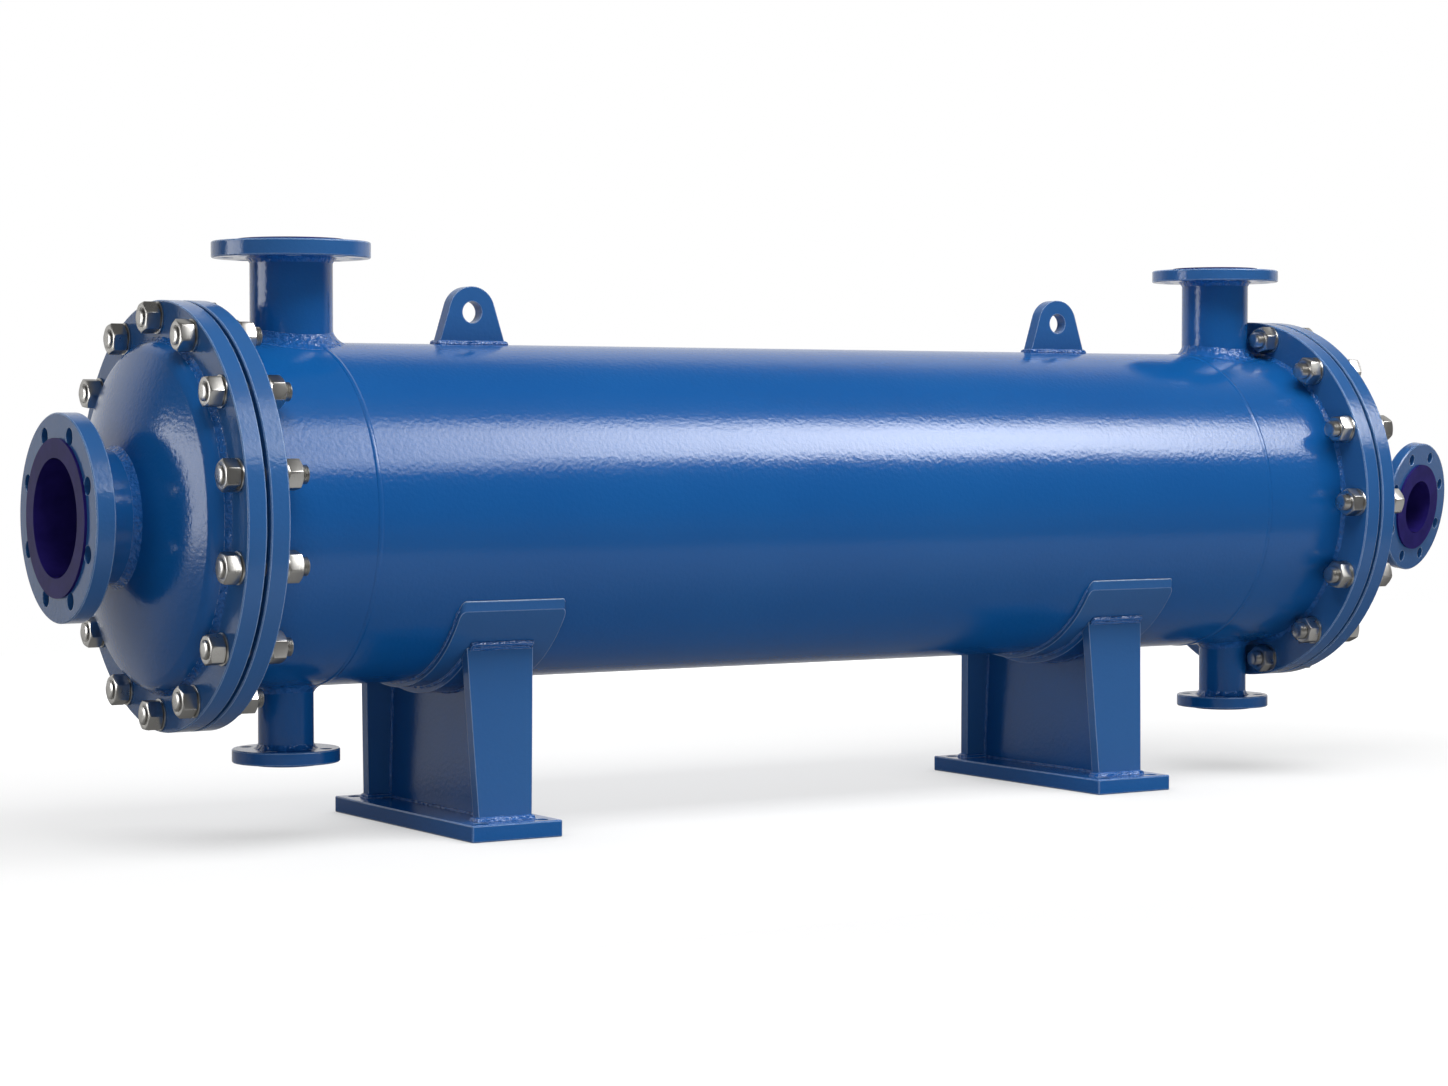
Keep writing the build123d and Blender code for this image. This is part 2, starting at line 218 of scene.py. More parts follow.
stainless, tree = new_material("polished_stainless_steel")
place = add(tree, "TexCoord").outputs["Object"]
patches = add(tree, "TexNoise", {"Vector": place, "Scale": 60.0, "Detail": 2.0})
shade = add(tree, "ValToRGB", {"Fac": patches.outputs["Fac"]})
shade.color_ramp.elements[0].color = linear("#cac8c3")
shade.color_ramp.elements[1].color = linear("#e2e0dc")
gloss = add(tree, "MapRange", {"Value": patches.outputs["Fac"], "To Min": 0.24, "To Max": 0.34})
turned = add(tree, "TexNoise", {"Vector": place, "Scale": 700.0, "Detail": 1.0})
bump = add(tree, "Bump", {"Height": turned.outputs["Fac"], "Strength": 0.06,
                          "Distance": 0.0002})
close_material(tree, add(tree, "BsdfPrincipled", {"Base Color": shade.outputs["Color"],
                                                  "Metallic": 1.0,
                                                  "Specular Tint": linear("#b4b4b4"),
                                                  "Roughness": gloss.outputs[0],
                                                  "Normal": bump.outputs[0]}))
print("made", rubber.name, "and", stainless.name)

# %% [markdown]
# ## Finishes on the solids
# Each solid keeps its shape and only changes its material. The record names a finish slot for
# every solid, and the slot decides: glass for linings and tubes, rubber for gaskets and enamel
# for the rest. The flat plates look a little greyer than the round pieces, from the light they
# catch, so flanges, lugs and the saddles' upper plates take a paler, greyer enamel: a painted
# sheen. The drains' flanges lie in the vessel's shade and stay as blue as their necks.

# %% Dress the solids
FLAT_PLATES = ("flange", "lug", "end_plates", "wear_plate")
finish_of = {"blue_enamel": enamel, "glass_lining": glass, "gasket_rubber": rubber,
             "glassed_steel": glassed_tubes}
slot_of = {part["node"]: part["material_slot"] for part in frame["record"]["subparts"]}
for name, solid in nodes.items():
    finish = finish_of[slot_of[name]]
    # The painted sheen goes on lit flat plates; the drains' flanges lie in shade.
    if name.endswith(FLAT_PLATES) and "drain" not in name:
        finish = plate_enamel_with_painted_sheen
    solid.data.materials.clear()
    solid.data.materials.append(finish)
print("dressed", len(nodes), "solids")

# %% [markdown]
# ## Modelling helpers
# Every piece below starts as a Blender primitive, is shaped in edit mode and with modifiers,
# and is then put in place in its own mesh, so that it sits unturned at the origin. `pick` opens
# edit mode with only the chosen parts selected, because operators act on the whole selection.
# `done` gives a piece its soft shading and its finish, and fixes it to the vessel.

# %% Modelling helpers
added = []
SMOOTH_UP_TO = math.radians(35)


def only(piece):
    bpy.ops.object.select_all(action="DESELECT")
    piece.select_set(True)
    bpy.context.view_layer.objects.active = piece


def fresh(name, primitive, **sizes):
    """Adds a primitive of the bpy.ops.mesh family with nothing else selected."""
    bpy.ops.object.select_all(action="DESELECT")
    getattr(bpy.ops.mesh, f"primitive_{primitive}_add")(**sizes)
    piece = bpy.context.object
    piece.name = piece.data.name = name
    bpy.ops.object.transform_apply(location=True, rotation=True, scale=True)
    return piece


def pick(piece, kind, test=lambda middle: True):
    """Opens edit mode with the vertices, edges or faces selected whose middle passes the test."""
    only(piece)
    mesh = piece.data
    bpy.ops.object.mode_set(mode="EDIT")
    bpy.ops.mesh.select_mode(type=kind)
    bpy.ops.mesh.select_all(action="DESELECT")
    bpy.ops.object.mode_set(mode="OBJECT")
    if kind == "VERT":
        spots = [(vertex, vertex.co) for vertex in mesh.vertices]
    elif kind == "EDGE":
        spots = [(edge, sum((mesh.vertices[i].co for i in edge.vertices), Vector()) / 2)
                 for edge in mesh.edges]
    else:
        spots = [(face, face.center) for face in mesh.polygons]
    for part, middle in spots:
        part.select = test(middle)
    bpy.ops.object.mode_set(mode="EDIT")


def leave():
    bpy.ops.object.mode_set(mode="OBJECT")


def modify(piece, kind, **settings):
    only(piece)
    modifier = piece.modifiers.new(kind.title(), kind)
    for name, value in settings.items():
        setattr(modifier, name, value)
    bpy.ops.object.modifier_apply(modifier=modifier.name)


def cut(piece, tool, operation="DIFFERENCE"):
    """Cuts a piece with another one by a boolean, and throws the tool away."""
    modify(piece, "BOOLEAN", operation=operation, object=tool)
    bpy.data.objects.remove(tool)


def copy_of(piece, name, place):
    twin = piece.copy()
    twin.data = piece.data.copy()
    twin.name = twin.data.name = name
    bpy.context.scene.collection.objects.link(twin)
    twin.data.transform(place)
    return twin


def done(piece, material):
    only(piece)
    bpy.ops.object.shade_smooth_by_angle(angle=SMOOTH_UP_TO)
    piece.data.materials.clear()
    piece.data.materials.append(material)
    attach(piece, "root")
    added.append(piece)


print("helpers ready")

# %% [markdown]
# ## A hexagon nut
# The girth joints have M27 nuts, 41 mm across the flats. A nut could be a bare six-sided prism,
# but a real one is turned on a lathe, which takes its corners off as a shallow cone and leaves
# the round ring and the six curved edges that catch the light. The prism is therefore cut by a
# cone from above and by its mirror image from below, just as the lathe does, and bored.

# %% Turn the nut
NUT_FLATS = 0.041
NUT_HEIGHT = 0.023
STUD_RADIUS = 0.0135
CHAMFER = math.radians(30)
FACE_RADIUS = 0.47 * NUT_FLATS
BORE_SLACK = 0.0002

nut = fresh("nut", "cylinder", vertices=6, radius=NUT_FLATS / math.sqrt(3), depth=NUT_HEIGHT)
cone_tip = NUT_HEIGHT / 2 + FACE_RADIUS * math.tan(CHAMFER)
cone_depth = cone_tip + NUT_HEIGHT
for turn in (0, math.pi):
    cone = fresh("lathe_cone", "cone", vertices=72, radius1=cone_depth / math.tan(CHAMFER),
                 depth=cone_depth, location=(0, 0, cone_tip - cone_depth / 2))
    cone.data.transform(Matrix.Rotation(turn, 4, "X"))
    cut(nut, cone, "INTERSECT")
bore = fresh("bore", "cylinder", vertices=32, radius=STUD_RADIUS + BORE_SLACK,
             depth=2 * NUT_HEIGHT)
cut(nut, bore)
modify(nut, "BEVEL", width=0.0005, segments=2, limit_method="ANGLE",
       angle_limit=math.radians(22))
print("nut", [round(1000 * side, 1) for side in nut.dimensions], "mm,",
      len(nut.data.polygons), "faces")

# %% [markdown]
# ## A washer
# The washer is a punched disc, with a hole and a soft rim. The rim's small radius shows as one
# bright line beside the flange.

# %% Punch the washer
WASHER_RADIUS = 0.0235
WASHER_HEIGHT = 0.003
HOLE_SLACK = 0.0005
washer = fresh("washer", "cylinder", vertices=56, radius=WASHER_RADIUS, depth=WASHER_HEIGHT)
hole = fresh("hole", "cylinder", vertices=32, radius=STUD_RADIUS + HOLE_SLACK,
             depth=3 * WASHER_HEIGHT)
cut(washer, hole)
modify(washer, "BEVEL", width=0.0007, segments=2, limit_method="ANGLE",
       angle_limit=math.radians(40))
print("washer", len(washer.data.polygons), "faces")

# %% [markdown]
# ## A stud with threaded ends
# A stud runs through both flanges. Its domed tip stands 4 mm out of the nut on the cover side,
# and 13 mm of M27 thread, with its 3 mm pitch, on the shell side. A thread is a helix, but its
# rise of 3 mm a turn can't be told from rings at this size. Rings are simpler: the end face is
# pushed out by half a pitch and narrowed to the root, then pushed out again and widened to the
# crest, turn after turn. The rings start 1 mm inside each nut.

# %% Thread the stud
PITCH = 0.003
ROOT = 0.86
INSIDE_NUT = 0.001
thread = ((PITCH / 2, ROOT), (PITCH / 2, 1 / ROOT))
tip = ((0.0014, 0.86), (0.0006, 0.72), (0.0002, 0.5))
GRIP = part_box("left_shell_flange")[1].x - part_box("left_cover_flange")[0].x
shank = GRIP + 2 * (WASHER_HEIGHT + NUT_HEIGHT - INSIDE_NUT)
stud = fresh("stud", "cylinder", vertices=32, radius=STUD_RADIUS, depth=shank)
for side, turns in ((1, 4), (-1, 1)):
    pick(stud, "FACE", lambda middle: abs(middle.z - side * shank / 2) < 1e-5)
    for rise, ratio in thread * turns + tip:
        bpy.ops.mesh.extrude_region_move(TRANSFORM_OT_translate={"value": (0, 0, side * rise)})
        bpy.ops.transform.resize(value=(ratio, ratio, 1), center_override=(0, 0, 0))
    leave()
print("stud", round(1000 * stud.dimensions.z, 1), "mm,", len(stud.data.polygons), "faces")

# %% [markdown]
# ## Fourteen studs in each girth joint
# One model of each fastener is copied to every hole. The left joint has a hole at the very top,
# and the right one is turned by half a step. A fitter leaves each nut at a turn of its own, so
# every nut gets a different one, from its number and not by chance. The two ends of a stud,
# a on the left and b on the right, start from different turns.

# %% Bolt the girth joints
AXIS = Vector((0, 0, (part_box("shell_barrel")[0].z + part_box("shell_barrel")[1].z) / 2))
STUD_COUNT = 14
STUD_CIRCLE = 0.2865
TURN_EACH = 23
FIRST_TURN = {"a": 17, "b": 41}
joints = {"left": ("left_cover_flange", "left_shell_flange", 0.0, 1),
          "right": ("right_shell_flange", "right_cover_flange", 0.5, -1)}


def fasten(model, name, x, outwards, around, turn):
    """Copies a fastener that stands along Z to a place on the stud circle."""
    out = Matrix.Rotation(outwards * math.pi / 2, 4, "Y") @ Matrix.Rotation(turn, 4, "Z")
    spot = AXIS + Vector((x, STUD_CIRCLE * math.cos(around), STUD_CIRCLE * math.sin(around)))
    done(copy_of(model, name, Matrix.Translation(spot) @ out), stainless)


for joint, (first, second, step, shell_side) in joints.items():
    low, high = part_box(first)[0].x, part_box(second)[1].x
    for number in range(STUD_COUNT):
        around = math.pi / 2 + (number + step) * 2 * math.pi / STUD_COUNT
        mark = f"{joint}_{number + 1:02d}"
        fasten(stud, f"stud_{mark}", (low + high) / 2, shell_side, around, 0)
        for end, face, outwards in (("a", low, -1), ("b", high, 1)):
            turn = math.radians(number * TURN_EACH + FIRST_TURN[end])
            seat = face + outwards * WASHER_HEIGHT / 2
            fasten(washer, f"washer_{mark}_{end}", seat, outwards, around, 0)
            seat = face + outwards * (WASHER_HEIGHT + NUT_HEIGHT / 2)
            fasten(nut, f"nut_{mark}_{end}", seat, outwards, around, turn)
for model in (nut, washer, stud):
    bpy.data.objects.remove(model)
print(len(added), "fasteners")

# %% [markdown]
# ## Fillet welds round necks and rings
# Where a neck meets the shell or a flange, a ring of weld fills the corner. It is slightly
# hollow, from three-run welding that is ground smooth before painting. A torus would bulge the
# wrong way, so the section is drawn first: a small square whose outer corner is bevelled with a
# hollow profile, spun once round the neck. Its corner reaches 1.5 mm into the steel, so that no
# gap shows.
#
# On the round shell and on a dished head, the ring can't lie flat. Each of its points sinks by
# as much as the surface below has fallen away there, which bends the ring over it.

# %% Lay the fillet welds
WELD_ROOT = 0.0015
LEG_SHARE = 0.28  # of a neck's radius
SHELL_RADIUS = (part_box("shell_barrel")[1].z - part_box("shell_barrel")[0].z) / 2
CROWN_RADIUS = 0.600


def fillet(name, radius, leg, height, place, fall=lambda point: 0.0):
    """Lays a ring of weld round a neck: leg along the surface and height up the neck."""
    piece = fresh(name, "plane", size=1, location=(0.5, 0, 0.5), rotation=(math.pi / 2, 0, 0))
    piece.data.transform(Matrix.Translation((radius - WELD_ROOT, 0, -WELD_ROOT))
                         @ Matrix.Diagonal((leg + WELD_ROOT, 1, height + WELD_ROOT, 1)))
    pick(piece, "VERT", lambda p: p.x > radius and p.z > 0)
    bpy.ops.mesh.bevel(offset_type="PERCENT", offset_pct=92, segments=7, profile=0.14,
                       affect="VERTICES")
    bpy.ops.mesh.select_all(action="SELECT")
    bpy.ops.mesh.delete(type="ONLY_FACE")
    bpy.ops.mesh.select_all(action="SELECT")
    bpy.ops.mesh.spin(steps=96, angle=2 * math.pi, center=(0, 0, 0), axis=(0, 0, 1))
    bpy.ops.mesh.select_all(action="SELECT")
    bpy.ops.mesh.remove_doubles(threshold=0.00002)
    bpy.ops.mesh.normals_make_consistent(inside=False)
    leave()
    for vertex in piece.data.vertices:
        vertex.co.z -= fall(vertex.co)
    piece.data.transform(place)
    done(piece, weld_enamel)


def over_shell(point):
    return SHELL_RADIUS - math.sqrt(SHELL_RADIUS ** 2 - point.y ** 2)


def over_crown(point):
    return CROWN_RADIUS - math.sqrt(CROWN_RADIUS ** 2 - point.x ** 2 - point.y ** 2)


def towards(x, y, z, way):
    """Matrix that stands Z along a direction, at a point."""
    return Matrix.Translation((x, y, z)) @ Vector(way).to_track_quat("Z", "Y").to_matrix().to_4x4()


for name in ("top_inlet_nozzle", "top_vent_nozzle", "left_drain_nozzle", "right_drain_nozzle"):
    low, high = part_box(name + "_neck")
    x, radius = (low.x + high.x) / 2, (high.x - low.x) / 2
    up = 1 if high.z > AXIS.z else -1
    leg = LEG_SHARE * radius
    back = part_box(name + "_flange")[0 if up > 0 else 1].z
    fillet(name + "_shell_weld", radius, leg, height=leg, fall=over_shell,
           place=towards(x, 0, AXIS.z + up * SHELL_RADIUS, (0, 0, up)))
    fillet(name + "_flange_weld", radius, leg=0.008, height=0.010,
           place=towards(x, 0, back, (0, 0, -up)))
print("nozzle welds", len(added))

# %% Weld the end nozzles and the girth rings
left_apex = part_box("left_dished_head")[0].x
right_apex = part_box("right_dished_head")[1].x
low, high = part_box("left_end_nozzle_neck")
radius = (high.z - low.z) / 2
fillet("left_end_nozzle_head_weld", radius, leg=0.017, height=0.017,
       place=towards(left_apex, 0, AXIS.z, (-1, 0, 0)), fall=over_crown)
fillet("left_end_nozzle_flange_weld", radius, leg=0.010, height=0.012,
       place=towards(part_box("left_end_nozzle_flange")[1].x, 0, AXIS.z, (1, 0, 0)))
elbow_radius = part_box("outlet_nozzle_elbow")[1].z - AXIS.z
fillet("outlet_nozzle_head_weld", elbow_radius, leg=0.016, height=0.016,
       place=towards(right_apex, 0, AXIS.z, (1, 0, 0)), fall=over_crown)
print("elbow radius", round(elbow_radius, 4))

for name, flange, way in (("left_head_ring_weld", "left_cover_flange", -1),
                          ("left_shell_ring_weld", "left_shell_flange", 1),
                          ("right_shell_ring_weld", "right_shell_flange", -1),
                          ("right_head_ring_weld", "right_cover_flange", 1)):
    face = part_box(flange)[0 if way < 0 else 1].x
    fillet(name, SHELL_RADIUS, leg=0.007, height=0.009,
           place=towards(face, 0, AXIS.z, (way, 0, 0)))
print("welds and fasteners", len(added))

# %% [markdown]
# ## Seam welds
# The shell is made of three lengths of pipe, joined by two machine welds. Such a bead is low
# and regular, about 8 mm wide and a good millimetre proud. A ring of round section sunk deep
# into the shell has that shape. A core cuts off what would come out inside the wall, and clouds
# push the surface in and out a little, as the puddle did. It is smooth enough to take the plain
# enamel. The left bead stops at the top inlet, whose neck crosses the seam.

# %% Run the seam beads
bead_ripple = bpy.data.textures.new("bead_ripple", "CLOUDS")
bead_ripple.noise_scale = 0.006
SECTION_RADIUS = 0.0080
SECTION_SUNK = 0.0068
CORE_DEPTH = 0.004


def seam(name, x):
    piece = fresh(name, "torus", major_segments=288, minor_segments=14,
                  major_radius=SHELL_RADIUS - SECTION_SUNK, minor_radius=SECTION_RADIUS)
    core = fresh("core", "cylinder", vertices=288, radius=SHELL_RADIUS - CORE_DEPTH,
                 depth=4 * SECTION_RADIUS)
    for mesh in (piece.data, core.data):
        mesh.transform(towards(x, 0, AXIS.z, (1, 0, 0)))
    cut(piece, core)
    modify(piece, "DISPLACE", texture=bead_ripple, strength=0.0006, mid_level=0.5,
           texture_coords="GLOBAL")
    return piece


left_seam = seam("left_seam_weld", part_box("shell_barrel")[0].x)
low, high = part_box("top_inlet_nozzle_neck")
plug = fresh("plug", "cylinder", vertices=64, radius=(high.x - low.x) / 2, depth=0.4,
             location=((low.x + high.x) / 2, 0, high.z))
cut(left_seam, plug)
done(left_seam, enamel)
done(seam("right_seam_weld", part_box("shell_barrel")[1].x), enamel)

# %% [markdown]
# ## Beads round plates
# The saddles and lugs are welded on by hand. Each plate has a bead along its outline, so the
# outline comes first: a plane of the plate's size, its corners bevelled, its edges divided and
# its face deleted. A rule then bends it to where it lies, over the shell or up the web, and it
# becomes a curve with a round section. As for the seams, clouds make the hand-laid bead uneven.

# %% A bead along an outline
hand_ripple = bpy.data.textures.new("hand_ripple", "CLOUDS")
hand_ripple.noise_scale = 0.009


def bead(name, width, length, corner, thickness, bend, step=0.006):
    """Lays a bead along a rectangle's outline, which the rule bend puts in place."""
    piece = fresh(name, "plane", size=1)
    piece.data.transform(Matrix.Diagonal((width, length, 1, 1)))
    pick(piece, "VERT")
    if corner:
        bpy.ops.mesh.bevel(offset=corner, segments=5, affect="VERTICES")
    bpy.ops.mesh.select_all(action="SELECT")
    bpy.ops.mesh.delete(type="ONLY_FACE")
    leave()
    mesh = piece.data
    for side in (0, 1):
        pick(piece, "EDGE", lambda p: abs(abs(p[side]) - (width, length)[side] / 2) < 1e-6)
        bpy.ops.mesh.subdivide(number_cuts=max(2, round((length, width)[side] / step)))
        leave()
    for vertex in mesh.vertices:
        vertex.co = bend(vertex.co)
    only(piece)
    bpy.ops.object.convert(target="CURVE")
    piece.data.bevel_depth = thickness
    piece.data.bevel_resolution = 2
    bpy.ops.object.convert(target="MESH")
    modify(piece, "DISPLACE", texture=hand_ripple, strength=0.0022, mid_level=0.5,
           texture_coords="GLOBAL")
    done(piece, weld_enamel)


def round_shell(x, radius, up=-1, turn=0.0):
    """Rule that wraps a flat outline round the shell, under it or over it."""
    return lambda p: Vector((x + p.x, radius * math.sin(p.y / radius + turn),
                             AXIS.z + up * radius * math.cos(p.y / radius + turn)))


END_PLATE_THICKNESS = 0.018
END_PLATE_FOOT = 0.088
END_PLATE_LEAN = 0.012
WEAR_PLATE_CORNER = 0.008
PLATE_BEAD = 0.003    # half the thickness of each bead
CRADLE_BEAD = 0.0035
TOP_BEAD = 0.0045
LUG_BEAD = 0.005
FOOT_BEAD = 0.0062
PROUD = 0.0005        # height of a bead's middle over the surface that it lies on
TOP_PATH = 0.008      # the top bead runs round a narrow path, this wide


def flat_foot(x, y, z):
    return lambda p: Vector((x + p.x, y + p.y, z))


def angle_at_top(foot, base_top, radius):
    """Angle from the bottom of the shell at which a leaning end plate meets its underside."""
    slope = END_PLATE_LEAN / (AXIS.z - SHELL_RADIUS - base_top)
    across = foot
    for _ in range(6):  # enough rounds to settle
        across = foot - slope * (AXIS.z - math.sqrt(radius ** 2 - across ** 2) - base_top)
    return math.asin(across / radius)


for saddle in ("fixed_saddle", "sliding_saddle"):
    low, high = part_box(saddle + "_wear_plate")
    x = (low.x + high.x) / 2
    half_angle = math.asin(high.y / (AXIS.z - low.z))
    bead(saddle + "_wear_plate_weld", high.x - low.x, 2 * SHELL_RADIUS * half_angle,
         WEAR_PLATE_CORNER, PLATE_BEAD, round_shell(x, SHELL_RADIUS + PROUD))

    under = AXIS.z - low.z
    low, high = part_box(saddle + "_cradle")
    half_angle = math.asin(high.y / (AXIS.z - low.z))
    bead(saddle + "_cradle_weld", high.x - low.x, 2 * under * half_angle, 0, CRADLE_BEAD,
         round_shell(x, under + PROUD))
    base_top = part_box(saddle + "_base_plate")[1].z
    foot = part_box(saddle + "_end_plates")[1].y
    top = angle_at_top(foot, base_top, under) + 0.005 / under
    for side, place in ((-1, "front"), (1, "back")):
        bead(f"{saddle}_{place}_top_weld", high.x - low.x - TOP_PATH, TOP_PATH, 0, TOP_BEAD,
             round_shell(x, under + 4 * PROUD, turn=side * top))
        bead(f"{saddle}_{place}_foot_weld", END_PLATE_FOOT, END_PLATE_THICKNESS, 0, FOOT_BEAD,
             flat_foot(x, side * (foot - END_PLATE_THICKNESS / 2), base_top + PROUD))
for lug in ("left_lifting_lug", "right_lifting_lug"):
    low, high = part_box(lug)
    bead(lug + "_weld", high.x - low.x, high.y - low.y, 0, LUG_BEAD,
         round_shell((low.x + high.x) / 2, SHELL_RADIUS + 2 * PROUD, up=1))
print("welds and fasteners", len(added))

# %% [markdown]
# ## Welds round the webs
# Each saddle's web is a plate whose four edges are all welded: its foot, its two leaning sides
# and its hollow top under the cradle. A flat outline is bent to that form, its sides leaning
# with the end plates and its top following the cradle, once on each face of the web.

# %% Weld the webs


def web_edge(x, foot, base_top, seat):
    """Rule that turns an outline 2 wide and 2 high into the outline of a web's face."""
    slope = END_PLATE_LEAN / (AXIS.z - SHELL_RADIUS - base_top)

    def rule(p):
        across = p.x * foot
        for _ in range(4):
            top = AXIS.z - math.sqrt(seat ** 2 - across ** 2)
            height = base_top + (p.y + 1) / 2 * (top - base_top)
            across = p.x * (foot - slope * (height - base_top))
        return Vector((x, across, height))
    return rule


for saddle in ("fixed_saddle", "sliding_saddle"):
    low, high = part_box(saddle + "_web")
    for face, place in ((low.x, "left"), (high.x, "right")):
        rule = web_edge(face, high.y, low.z, AXIS.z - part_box(saddle + "_cradle")[0].z)
        bead(f"{saddle}_web_{place}_weld", 2, 2, 0, PLATE_BEAD, rule, step=0.04)
print("welds and fasteners", len(added))

# %% [markdown]
# ## Studio: floor, lamps and background
# The picture has no room in it: white behind, a soft shadow below. The floor is a mid grey that
# is lifted to white for the camera alone, which keeps its soft shadow but throws little light
# up at the round belly of the shell. The lift grows with distance, so the floor has no far
# edge, and an occlusion node lowers it close to a foot: a painted contact shadow. What gloss
# and metal see of the floor is set apart: a glowing grey with painted shade under the vessel,
# that fades out about a metre in front of its axis, because the shell in the picture mirrors
# the floor that far.

# %% Lay the floor
MIDDLE = (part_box("shell_barrel")[0].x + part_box("shell_barrel")[1].x) / 2
FLOOR_WIDTH, FLOOR_DEPTH, FLOOR_BACK = 10.0, 6.4, 0.6
floor = fresh("studio_floor", "plane", size=1)
floor.data.transform(Matrix.Translation((MIDDLE, FLOOR_BACK, 0))
                     @ Matrix.Diagonal((FLOOR_WIDTH, FLOOR_DEPTH, 1, 1)))
floor_paint, tree = new_material("white_studio_floor")
place = add(tree, "TexCoord").outputs["Object"]
away = add(tree, "VectorMath", {0: place, 1: (MIDDLE, 0.0, 0.0)}, operation="DISTANCE")
lift = add(tree, "MapRange", {"Value": away.outputs["Value"], "From Min": 1.2, "From Max": 3.2,
                              "To Min": 0.69, "To Max": 1.0}, interpolation_type="SMOOTHSTEP")
ray = add(tree, "LightPath")
# An occlusion node lowers the lift near the feet: a painted contact shadow.
open_sky = add(tree, "AmbientOcclusion", {"Distance": 0.22}, samples=8)
painted_contact_shade = add(tree, "MapRange", {"Value": open_sky.outputs["AO"], "From Min": 0.3,
                                "From Max": 0.95, "To Min": 0.5, "To Max": 1.0})
lift = add(tree, "Math", {0: lift.outputs[0], 1: painted_contact_shade.outputs[0]}, operation="MULTIPLY")
to_eye = add(tree, "Math", {0: ray.outputs["Is Camera Ray"], 1: lift.outputs[0]},
             operation="MULTIPLY")
paper = add(tree, "BsdfDiffuse", {"Color": linear("#949494")})
glow = add(tree, "Emission", {"Color": (1, 1, 1, 1), "Strength": to_eye.outputs[0]})
lit = add(tree, "AddShader", {0: paper.outputs[0], 1: glow.outputs[0]})
# Gloss sees the floor dimmer near the vessel's axis: painted shade under the vessel.
across = add(tree, "SeparateXYZ", {0: place}).outputs["Y"]
out_from_axis = add(tree, "Math", {0: across}, operation="ABSOLUTE")
shade = add(tree, "MapRange", {"Value": out_from_axis.outputs[0], "From Min": 0.2,
                               "From Max": 0.75, "To Min": 0.18, "To Max": 0.50},
            interpolation_type="SMOOTHSTEP")
front_edge = add(tree, "MapRange", {"Value": across, "From Min": -1.28, "From Max": -1.05,
                                    "To Min": 0.15, "To Max": 1.0},
                 interpolation_type="SMOOTHSTEP")
near = add(tree, "Math", {0: shade.outputs[0], 1: front_edge.outputs[0]}, operation="MULTIPLY")
mirrored = add(tree, "Emission", {"Color": (1, 1, 1, 1), "Strength": near.outputs[0]})
close_material(tree, add(tree, "MixShader", {"Fac": ray.outputs["Is Glossy Ray"],
                                             1: lit.outputs[0], 2: mirrored.outputs[0]}))
floor.data.materials.append(floor_paint)
print("floor", tuple(round(v, 1) for v in floor.dimensions))

# %% [markdown]
# ## Lamps
# Two jobs are kept apart. Four plain soft lamps light the colours and are not seen in the
# gloss: one overhead, one at the left, a white card low in front and a lamp low behind, which
# shows only in views of the back. The shapes seen in the gloss are softboxes that light
# nothing else: a long strip in front and above, which draws the bright band along the shell, a
# dim one below its left end, where the band is broader, and one beyond the left end for the
# patch on the dished head and the stripes on the necks. Their places were worked out by
# following the camera's rays off the round surfaces. Each fades towards its edges.

# %% Hang the lamps


def softbox(name, place, aim, width, height, radiance):
    """Hangs a rectangular lamp at a place, turned towards aim."""
    lamp = bpy.data.objects.new(name, bpy.data.lights.new(name, "AREA"))
    bpy.context.scene.collection.objects.link(lamp)
    lamp.data.shape = "RECTANGLE"
    lamp.data.size, lamp.data.size_y = width, height
    lamp.data.energy = radiance * math.pi * width * height
    lamp.location = place
    lamp.rotation_euler = (Vector(aim) - Vector(place)).to_track_quat("-Z", "Y").to_euler()
    lamp.visible_camera = False
    return lamp


def fade(tree, along, start, end):
    """Part of full strength at a place across the lamp, from 0 at start to 1 at end."""
    level = add(tree, "MapRange", {"Value": along, "From Min": start, "From Max": end},
                interpolation_type="SMOOTHSTEP")
    return level.outputs[0]


def only_in_gloss(lamp, fades):
    """Hides a lamp from matt surfaces and fades it towards the edges that fades names."""
    lamp.visible_diffuse = False
    lamp.data.use_nodes = True
    tree = lamp.data.node_tree
    tree.nodes.clear()
    spot = add(tree, "SeparateXYZ", {0: add(tree, "NewGeometry").outputs["Parametric"]})
    level = 1.0
    for axis, start, end in fades:
        part = fade(tree, spot.outputs[axis], start, end)
        level = add(tree, "Math", {0: part, 1: level}, operation="MULTIPLY").outputs[0]
    glow = add(tree, "Emission", {"Strength": level})
    add(tree, "OutputLight", {"Surface": glow.outputs[0]})


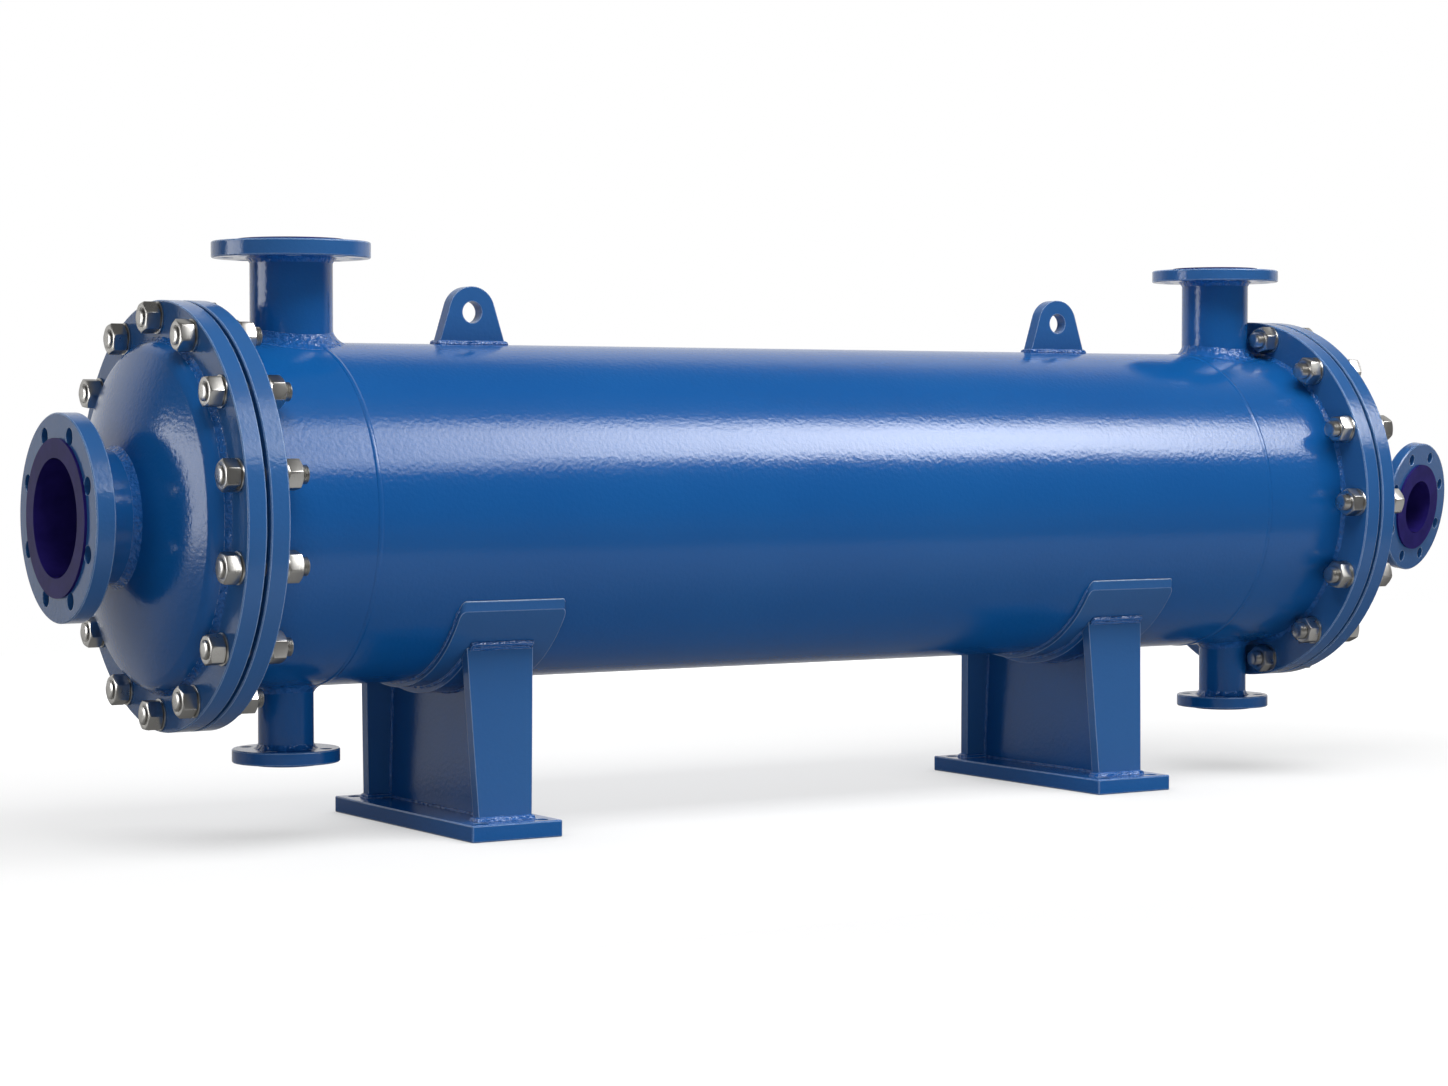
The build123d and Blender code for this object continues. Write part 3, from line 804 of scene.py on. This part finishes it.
for name, place, aim, width, height, radiance in (
        ("plain_overhead", (MIDDLE + 0.3, -1.3, 3.0), (MIDDLE + 0.3, 0, 0.5), 4.6, 1.4, 5.4),
        ("plain_left", (-3.2, -0.6, 1.6), (-0.5, 0, 0.5), 1.8, 1.8, 1.0),
        ("low_card", (MIDDLE, -1.15, 0.1), (MIDDLE, 0, 0.35), 4.4, 0.45, 2.0),
        ("plain_back", (MIDDLE, 2.6, 0.9), (MIDDLE, 0, 0.5), 4.0, 1.2, 3.0)):
    lamp = softbox(name, place, aim, width, height, radiance)
    lamp.visible_glossy = False
for name, place, aim, width, height, radiance, fades in (
        ("strip_in_gloss", (2.5, -1.94, 2.77), (2.5, 0, 0.6), 5.4, 1.85, 13.6,
         (("Y", 0.0, 0.2), ("Y", 1.0, 0.62), ("X", 0.03, 0.56), ("X", 1.0, 0.59))),
        ("corner_in_gloss", (1.15, -2.58, 2.12), (1.15, -0.24, 0.55), 1.7, 0.5, 3.4,
         (("Y", 0.0, 0.15), ("X", 0.0, 0.15), ("X", 1.0, 0.65))),
        ("window_in_gloss", (-2.1, 0.78, 0.62), (-0.51, -0.17, 0.5), 1.1, 1.18, 4.6,
         (("Y", 0.0, 0.3), ("Y", 1.0, 0.85), ("X", 0.0, 0.08), ("X", 1.0, 0.92)))):
    only_in_gloss(softbox(name, place, aim, width, height, radiance), fades)

# %% [markdown]
# ## Background
# The world is white to the camera. Gloss and metal see a bright backdrop, but only where it
# hangs, behind the vessel and up to about 40 degrees, with a dim room elsewhere, as in a studio
# where the backdrop alone is lit. Directions in space decide it, so it stays put in other views.

# %% Paint the world
BACKDROP = Vector((0.534, 0.845, 0.0))
world = bpy.data.worlds.new("studio_world")
bpy.context.scene.world = world
world.use_nodes = True
tree = world.node_tree
tree.nodes.clear()
way = add(tree, "TexCoord").outputs["Generated"]
facing = add(tree, "VectorMath", {0: way, 1: BACKDROP}, operation="DOT_PRODUCT")
beside = add(tree, "MapRange", {"Value": facing.outputs["Value"], "From Min": 0.28,
                                "From Max": 0.60}, interpolation_type="SMOOTHSTEP")
rise = add(tree, "SeparateXYZ", {0: way}).outputs["Z"]
above = add(tree, "MapRange", {"Value": rise, "From Min": 0.80, "From Max": 0.58},
            interpolation_type="SMOOTHSTEP")
hung = add(tree, "Math", {0: beside.outputs[0], 1: above.outputs[0]}, operation="MULTIPLY")
backdrop = add(tree, "MapRange", {"Value": hung.outputs[0], "To Min": 0.10, "To Max": 0.8})
rays = add(tree, "LightPath")
reflected = add(tree, "Mix", {0: rays.outputs["Is Glossy Ray"], 2: 0.24,
                              3: backdrop.outputs[0]})
level = add(tree, "Mix", {0: rays.outputs["Is Camera Ray"], 2: reflected.outputs[0], 3: 1.0})
sky = add(tree, "Background", {"Color": (1, 1, 1, 1), "Strength": level.outputs[0]})
add(tree, "OutputWorld", {"Surface": sky.outputs[0]})
bpy.context.scene.view_settings.view_transform = "Standard"
print("world ready")
